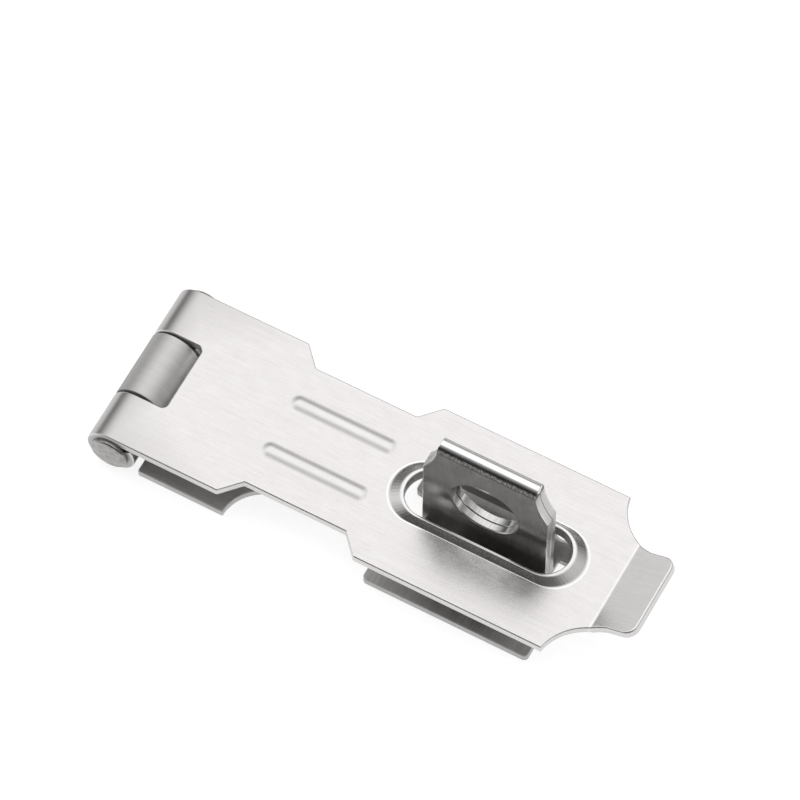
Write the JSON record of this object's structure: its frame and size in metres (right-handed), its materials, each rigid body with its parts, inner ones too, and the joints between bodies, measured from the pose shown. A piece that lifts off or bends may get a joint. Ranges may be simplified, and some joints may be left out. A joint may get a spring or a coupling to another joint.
{
  "type": "hasp and staple",
  "caption": "Flat hinged hasp with a raised slot collar and a turned-up finger tab, closed over a folded staple with a padlock hole.",
  "frame": {"origin": "on the plane of the surface both halves are screwed to, under the middle of the closed hasp's length and width", "axes": "+X runs along the strap from the hinge to the finger tab, +Y across it along the hinge pin, +Z away from the mounting surface"},
  "size_m": [0.102, 0.0352, 0.0307],
  "materials": {
    "strap_steel": "fine brushing along the strap",
    "leaf_steel": "fine brushing",
    "staple_steel": "fine brushing",
    "pin_steel": "plain turned wire with spread ends"
  },
  "bodies": {
    "staple_body": {"staple": "staple_steel"},
    "leaf_body": {"hinge_leaf": "leaf_steel"},
    "strap_body": {"hasp_strap": "strap_steel", "hinge_pin": "pin_steel"}
  },
  "joints": [
    {"name": "hasp_lift", "type": "slide", "parent": "staple_body", "child": "leaf_body", "axis": [0, 0, 1], "range_m": [0, 0.034]},
    {"name": "strap_swing", "type": "hinge", "parent": "leaf_body", "child": "strap_body", "pos_m": [-0.04635, 0, 0.00465], "axis": [0, -1, 0], "range_deg": [0, 178]}
  ]
}
